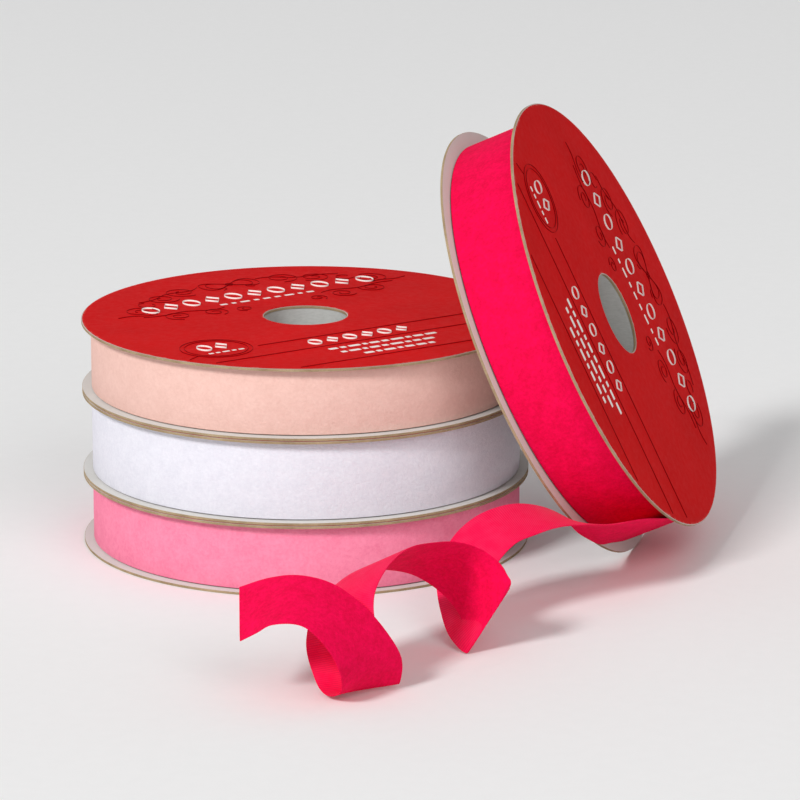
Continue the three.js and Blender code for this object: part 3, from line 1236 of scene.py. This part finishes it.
@dataclass
class FreeRibbon:
    """The crimson ribbon's free end, from its roll to the cut, in millimetres.

    bend_start and bend_end, which are in metres from the stack's foot, are not used.
    """

    stack_foot: Vector
    spool: Spool
    pay_off: float = 14.0
    run_out: float = 17.0
    width: float = 17.5
    thickness: float = 0.36
    roll_gap: float = 0.45
    rib_pitch: float = 0.5
    rib_height: float = 0.07
    samples_per_rib: int = 5
    station_steps: int = 24
    softening: int = 23
    columns: int = 9
    bend_start: tuple[float, float, float] = (0.072, -0.049, 0.016)
    bend_end: tuple[float, float, float] = (0.038, -0.080, 0.016)
    length: float = 0.0

    def stations(self) -> np.ndarray:
        """Lay the stations: a hug of the roll, a straight run, then the free path.

        Returns:
            Centre, in millimetres, and across direction at each, in the model's frame.
        """
        rows = []
        place = self.spool.place
        turn = place.to_3x3()
        down, level, axis = (turn.col[i].copy() for i in range(3))
        middle = place.translation / MM + axis * (self.spool.board + self.spool.ribbon_width / 2)
        reach = self.spool.roll_radius + self.roll_gap
        first = -24
        for degrees in range(first, int(self.pay_off), 6):
            angle = math.radians(degrees)
            out = down * math.cos(angle) - level * math.sin(angle)
            hug = reach - 0.12 + 0.35 * (degrees - first) / 38
            rows.append([*(middle + out * hug), *axis])
        angle = math.radians(self.pay_off)
        out = down * math.cos(angle) - level * math.sin(angle)
        leaving = -level * math.cos(angle) - down * math.sin(angle)
        for run in (0.0, self.run_out / 2, self.run_out):
            rows.append([*(middle + out * (reach + 0.25) + leaving * run), *axis])
        foot = np.array([self.stack_foot.x, self.stack_foot.y, 0.0]) / MM
        for x, y, z, heading, lift in FREE_STATIONS:
            a, b = math.radians(heading), math.radians(lift)
            across = (math.cos(b) * math.cos(a), math.cos(b) * math.sin(a), math.sin(b))
            rows.append([foot[0] + x, foot[1] + y, z, *across])
        return np.array(rows)

    def sections(self) -> tuple[np.ndarray, np.ndarray, np.ndarray, np.ndarray]:
        """Space cross sections evenly along the stations, and soften their path.

        Returns:
            Their centres, across and back-face directions, and the distance run to each.
        """
        path = smooth_path(self.stations(), self.station_steps)
        strides = np.linalg.norm(np.diff(path[:, :3], axis=0), axis=1)
        run = np.concatenate([[0], np.cumsum(strides)])
        self.length = float(run[-1])
        count = int(self.length / self.rib_pitch * self.samples_per_rib)
        even = np.linspace(0, self.length, count)
        sampled = np.stack([np.interp(even, run, path[:, k]) for k in range(6)], axis=1)
        centre, across = sampled[:, :3], sampled[:, 3:]
        kernel = np.hanning(self.softening)
        kernel /= kernel.sum()
        margin = self.softening // 2
        for block in (centre, across):
            for k in range(3):
                padded = np.pad(block[:, k], margin, mode="reflect", reflect_type="odd")
                block[:, k] = np.convolve(padded, kernel, mode="valid")
        across /= np.linalg.norm(across, axis=1)[:, None]
        along = np.gradient(centre, axis=0)
        along /= np.linalg.norm(along, axis=1)[:, None]
        back = np.cross(along, across)
        back /= np.linalg.norm(back, axis=1)[:, None]
        return centre, across, back, even

    def shell(self) -> Shell:
        """Make the ribbon a thin closed slab, plain in front and ribbed behind.

        Returns:
            The closed shell.
        """
        centre, across, back, run = self.sections()
        spread = np.linspace(-1, 1, self.columns)
        spread = np.sign(spread) * np.abs(spread) ** 0.8
        sideways = across[:, None, :] * (spread * self.width / 2)[None, :, None]
        ribs = 0.5 + 0.5 * np.cos(2 * math.pi * run / self.rib_pitch)
        grids = []
        for skin in (-1, 1):
            depth = np.full(len(run), self.thickness / 2)
            if skin > 0:
                depth = depth - self.rib_height * (1 - ribs)
            edge = 1 - 0.45 * np.abs(spread) ** 10
            offset = skin * depth[:, None] * edge[None, :]
            grid = centre[:, None, :] + sideways + back[:, None, :] * offset[:, :, None]
            grids.append(grid.reshape(-1, 3))
        rows, columns = len(run), self.columns
        faces = sheet_faces(rows, columns)
        inner = (rows - 1) * (columns - 1)
        finish = [k % 2 if k < 2 * inner else 0 for k in range(len(faces))]
        # mask of the rib grooves, which the back's material darkens as painted shade
        groove = np.repeat(1 - ribs, columns)
        values = {"groove": np.concatenate([np.zeros_like(groove), groove])}
        return Shell(np.vstack(grids) * MM, faces, finish, values)

    def build(self) -> bpy.types.Object:
        """Make the piece and hide the plain lead and tail nodes.

        Returns:
            The piece.
        """
        shell = self.shell()
        finish = self.spool.finish
        piece = shell.to_object("crimson_free_ribbon", Matrix.Identity(4),
                                [finish.face_material(), finish.back_material()], 70)
        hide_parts("crimson_ribbon_lead", "crimson_ribbon_tail")
        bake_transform(piece)
        LOG.info("%s is %.1f mm long", piece.name, self.length)
        return piece


# ---------------------------------------------------------------- studio


def joint_named(name: str) -> dict:
    """Find a packed joint by its name."""
    return next(joint for joint in frame["joints"] if joint["name"] == name)


def leaning_place() -> Matrix:
    """Find the leaning spool's own frame.

    Returns:
        The frame, with X down in the spool's disc and Z out of its label.
    """
    spin = joint_named("crimson_spin")
    axis = Vector(spin["axis"]).normalized()
    down = (Vector((0, 0, -1)) + axis * axis.z).normalized()
    level = axis.cross(down)
    place = Matrix((down, level, axis)).transposed().to_4x4()
    place.translation = Vector(spin["pos_m"])
    return place


@dataclass
class Surroundings:
    """Table, light and camera."""

    foot: Vector
    backdrop: Colour = linear(245, 245, 245)
    backdrop_grain: Colour = linear(242, 242, 242)
    sky_strength: float = 0.38
    lens_length: float = 209.2
    camera_offset: tuple[float, float, float] = (0.0228, -1.0912, 0.3121)
    camera_tilt: float = 75.685

    def table(self) -> None:
        """Lay a pale sheet that runs back and curves up into the backdrop."""
        rows, columns = 48, 9
        profile = []
        for i in range(rows + 1):
            share = i / rows
            if share < 0.5:
                profile.append((-2.5 + 8.0 * share, 0.0))
            else:
                angle = (share - 0.5) * math.pi
                profile.append((1.5 + 2.0 * math.sin(angle), 2.0 - 2.0 * math.cos(angle)))
        wide = np.linspace(-4, 4, columns)
        corners = np.array([(x, y, z - 0.00001) for y, z in profile for x in wide])
        faces = [(start, start + 1, start + columns + 1, start + columns)
                 for i in range(rows) for start in range(i * columns, (i + 1) * columns - 1)]
        tree = ShaderTree("backdrop_paper")
        grain = tree.noise(260, 2.0)
        tone = tree.mix(grain, self.backdrop, self.backdrop_grain)
        material = tree.finish(tone, 0.9, Specular_IOR_Level=0.15)
        floor = Shell(corners, faces).to_object("table", Matrix.Identity(4), [material], 180)

    def lamp(self, name: str, at: Sequence[float], size: float, power: float) -> None:
        """Hang a square soft lamp that looks at the stack.

        Args:
            name: The lamp's name.
            at: Its place from the stack's foot, in metres.
            size: Its side in metres.
            power: Its power in watts.
        """
        light = bpy.data.lights.new(name, "AREA")
        light.shape = "SQUARE"
        light.size = size
        light.energy = power
        lamp = bpy.data.objects.new(name, light)
        target = self.foot + Vector((0.03, -0.03, 0.04))
        spot = self.foot + Vector(at)
        lamp.location = spot
        lamp.rotation_euler = (target - spot).to_track_quat("-Z", "Y").to_euler()
        bpy.context.scene.collection.objects.link(lamp)

    def light(self) -> None:
        """Light the set with an even sky, a key lamp from the left and a weak fill."""
        world = bpy.data.worlds.new("even_sky")
        world.use_nodes = True
        sky = world.node_tree.nodes["Background"]
        sky.inputs["Color"].default_value = (1, 1, 1, 1)
        sky.inputs["Strength"].default_value = self.sky_strength
        bpy.context.scene.world = world
        self.lamp("key", (-3.1, -3.9, 3.7), 1.25, 245.0)
        self.lamp("fill", (1.3, -2.4, 1.9), 2.0, 24.0)

    def camera(self) -> None:
        """Set up a long lens a metre away, looking a little down, and a plain tone curve."""
        bpy.context.scene.view_settings.view_transform = "Standard"
        lens = bpy.data.cameras.new("camera")
        lens.lens = self.lens_length
        lens.sensor_width = 36.0
        camera = bpy.data.objects.new("camera", lens)
        right, back, up = self.camera_offset
        camera.location = (self.foot.x + right, self.foot.y + back, up)
        camera.rotation_euler = (math.radians(self.camera_tilt), 0, 0)
        bpy.context.scene.collection.objects.link(camera)
        bpy.context.scene.camera = camera


PEACH = RibbonFinish("peach", linear(240, 200, 189), linear(224, 180, 168),
                     linear(240, 200, 191), nap=0.7)
WHITE = RibbonFinish("white", linear(234, 233, 241), linear(214, 213, 224),
                     linear(240, 240, 244), nap=0.65)
PINK = RibbonFinish("pink", linear(252, 148, 177), linear(236, 120, 152),
                    linear(253, 154, 182), nap=0.8)
CRIMSON = RibbonFinish("crimson", linear(255, 8, 84), linear(218, 4, 58),
                       linear(255, 34, 94), nap=0.9)


def stack_spool(name: str, foot: Vector, width: float, finish: RibbonFinish,
                label_turn: float) -> Spool:
    """Place a closed spool of the stack at the height of its own back flange.

    Args:
        name: The spool's name.
        foot: The stack's foot.
        width: The gap between its flanges in millimetres.
        finish: Its ribbon's finish.
        label_turn: Degrees that its label is turned.

    Returns:
        The spool, not built yet.
    """
    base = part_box(f"{name}_back_flange")[0].z
    place = Matrix.Translation((foot.x, foot.y, base))
    return Spool(name, f"{name}_spool", place, width, finish, label_turn, 70.0)


def main() -> None:
    """Build the set, its table, light and camera."""
    logging.basicConfig(level=logging.INFO, format="%(message)s")
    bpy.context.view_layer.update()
    low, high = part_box("pink_back_flange")
    foot = (low + high) / 2
    foot.z = 0.0
    surroundings = Surroundings(foot)
    surroundings.camera()
    surroundings.light()
    surroundings.table()

    studio = Studio()
    art = label_artwork()
    leaning = Spool("crimson", "crimson_spool", leaning_place(), 17.9, CRIMSON, 4.5, -14.0,
                    drum_radius=47.7, wound_length=RIBBON_LENGTH - FREE_LENGTH,
                    clockwise=True, taped=False)
    spools = [stack_spool("pink", foot, 15.9, PINK, 75.0),
              stack_spool("white", foot, 18.9, WHITE, 160.0),
              stack_spool("peach", foot, 15.9, PEACH, 34.0),
              leaning]
    for spool in spools:
        spool.build(art, studio)
    FreeRibbon(foot, leaning).build()


if __name__ == "__main__":
    main()
